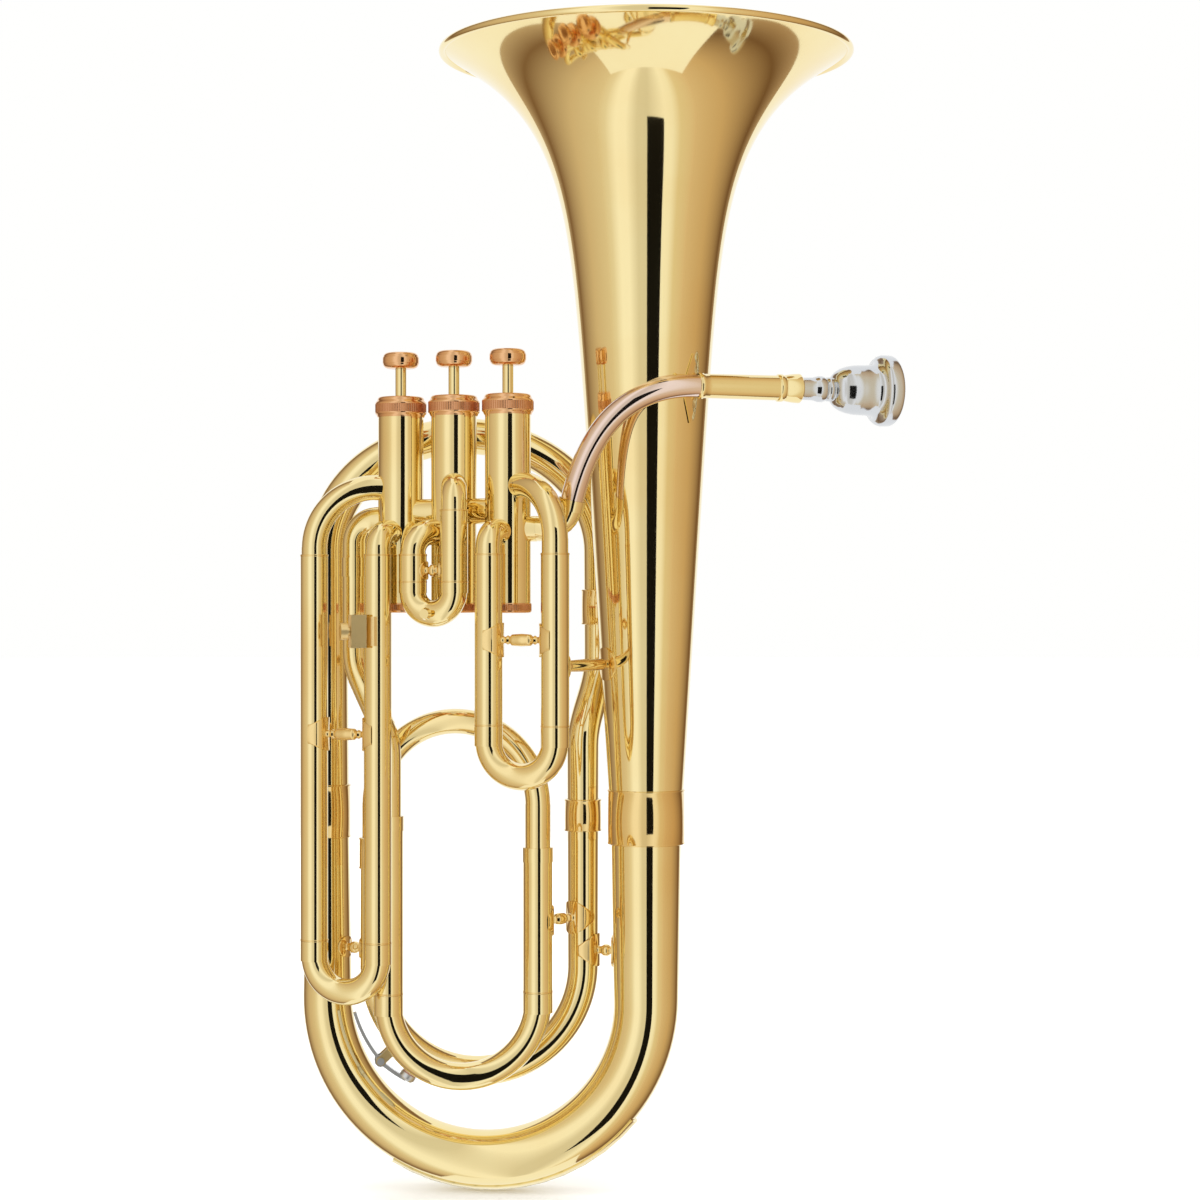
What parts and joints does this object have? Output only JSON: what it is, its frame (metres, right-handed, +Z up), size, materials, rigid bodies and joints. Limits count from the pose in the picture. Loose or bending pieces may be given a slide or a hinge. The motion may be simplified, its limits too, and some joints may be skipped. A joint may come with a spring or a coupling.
{
  "type": "baritone horn",
  "caption": "Upright brass wind instrument with a flared bell, coiled conical tubing, piston valves, tuning slides and a cup mouthpiece.",
  "frame": {"origin": "lowest point of the guard plate under the bottom bow", "axes": "+Z up along the bell's axis, +Y away from the valve side, +X towards the mouthpiece"},
  "size_m": [0.3353, 0.231, 0.6376],
  "materials": {
    "lacquered_brass": "polished under clear lacquer",
    "cap_brass": "polished, with satin turned bands",
    "rose_brass": "polished rose brass",
    "silver_plate": "polished silver plate",
    "piston_alloy": "honed nickel alloy",
    "spring_steel": "drawn wire",
    "felt": "pressed wool",
    "cork": "cut cork"
  },
  "bodies": {
    "plumbing": {"bell": "lacquered_brass", "bell_rim_wire": "lacquered_brass", "bell_ferrule": "lacquered_brass", "bottom_bow": "lacquered_brass", "bow_guard": "lacquered_brass", "left_ferrule": "lacquered_brass", "top_bow": "lacquered_brass", "small_branch": "lacquered_brass", "branch_ferrules": "lacquered_brass", "small_bow": "lacquered_brass", "tuning_crook": "lacquered_brass", "tuning_sleeve_left": "lacquered_brass", "tuning_sleeve_right": "lacquered_brass", "valve_exit_tube": "lacquered_brass", "valve_casing_1": "lacquered_brass", "valve_casing_2": "lacquered_brass", "valve_casing_3": "lacquered_brass", "valve_top_caps": "cap_brass", "valve_bottom_caps": "cap_brass", "crossover_tubes": "lacquered_brass", "first_sleeve_left": "lacquered_brass", "first_sleeve_right": "lacquered_brass", "second_sleeve_left": "lacquered_brass", "second_sleeve_right": "lacquered_brass", "third_sleeve_left": "lacquered_brass", "third_sleeve_right": "lacquered_brass", "leadpipe": "rose_brass", "leadpipe_elbow": "lacquered_brass", "mouthpiece_receiver": "lacquered_brass", "bell_brace": "lacquered_brass", "leadpipe_brace": "lacquered_brass", "slide_braces": "lacquered_brass", "bow_braces": "lacquered_brass", "lyre_socket": "lacquered_brass", "water_key_saddle": "lacquered_brass", "water_key_screw": "silver_plate"},
    "valve_1": {"piston_1": "piston_alloy", "valve_stem_1": "lacquered_brass", "finger_button_1": "cap_brass", "piston_felt_1": "felt", "valve_spring_1": "spring_steel"},
    "valve_2": {"piston_2": "piston_alloy", "valve_stem_2": "lacquered_brass", "finger_button_2": "cap_brass", "piston_felt_2": "felt", "valve_spring_2": "spring_steel"},
    "valve_3": {"piston_3": "piston_alloy", "valve_stem_3": "lacquered_brass", "finger_button_3": "cap_brass", "piston_felt_3": "felt", "valve_spring_3": "spring_steel"},
    "first_slide_body": {"first_slide": "lacquered_brass"},
    "second_slide_body": {"second_slide": "lacquered_brass"},
    "third_slide_body": {"third_slide": "lacquered_brass"},
    "tuning_slide_body": {"tuning_slide": "lacquered_brass"},
    "mouthpiece_body": {"mouthpiece": "silver_plate"},
    "water_key_body": {"water_key_lever": "silver_plate", "water_key_cork": "cork", "water_key_spring": "spring_steel"},
    "lyre_screw_body": {"lyre_screw": "lacquered_brass"}
  },
  "joints": [
    {"name": "valve_1_press", "type": "slide", "parent": "plumbing", "child": "valve_1", "axis": [0, 0, -1], "range_m": [0, 0.015], "stiffness_N_per_m": 140, "springref_m": -0.03, "deforming": ["valve_spring_1"]},
    {"name": "valve_2_press", "type": "slide", "parent": "plumbing", "child": "valve_2", "axis": [0, 0, -1], "range_m": [0, 0.015], "stiffness_N_per_m": 140, "springref_m": -0.03, "deforming": ["valve_spring_2"]},
    {"name": "valve_3_press", "type": "slide", "parent": "plumbing", "child": "valve_3", "axis": [0, 0, -1], "range_m": [0, 0.015], "stiffness_N_per_m": 140, "springref_m": -0.03, "deforming": ["valve_spring_3"]},
    {"name": "first_slide_pull", "type": "slide", "parent": "plumbing", "child": "first_slide_body", "axis": [0, 0, -1], "range_m": [0, 0.06]},
    {"name": "second_slide_pull", "type": "slide", "parent": "plumbing", "child": "second_slide_body", "axis": [0, 0, -1], "range_m": [0, 0.01]},
    {"name": "third_slide_pull", "type": "slide", "parent": "plumbing", "child": "third_slide_body", "axis": [0, 0, -1], "range_m": [0, 0.1]},
    {"name": "tuning_slide_pull", "type": "slide", "parent": "plumbing", "child": "tuning_slide_body", "axis": [0, 0, -1], "range_m": [0, 0.04]},
    {"name": "mouthpiece_draw", "type": "slide", "parent": "plumbing", "child": "mouthpiece_body", "axis": [0.9455, 0.3256, 0], "range_m": [0, 0.06]},
    {"name": "water_key_swing", "type": "hinge", "parent": "plumbing", "child": "water_key_body", "pos_m": [-0.0597, 0.00332, 0.07383], "axis": [-0.1027, 0.9947, 0], "range_deg": [0, 9], "stiffness_Nm_per_rad": 0.15, "springref_deg": -20.05},
    {"name": "lyre_screw_turn", "type": "hinge", "parent": "plumbing", "child": "lyre_screw_body", "pos_m": [-0.0684, -0.042, 0.314], "axis": [-0.9703, -0.2419, 0], "range_deg": [0, 720]}
  ]
}
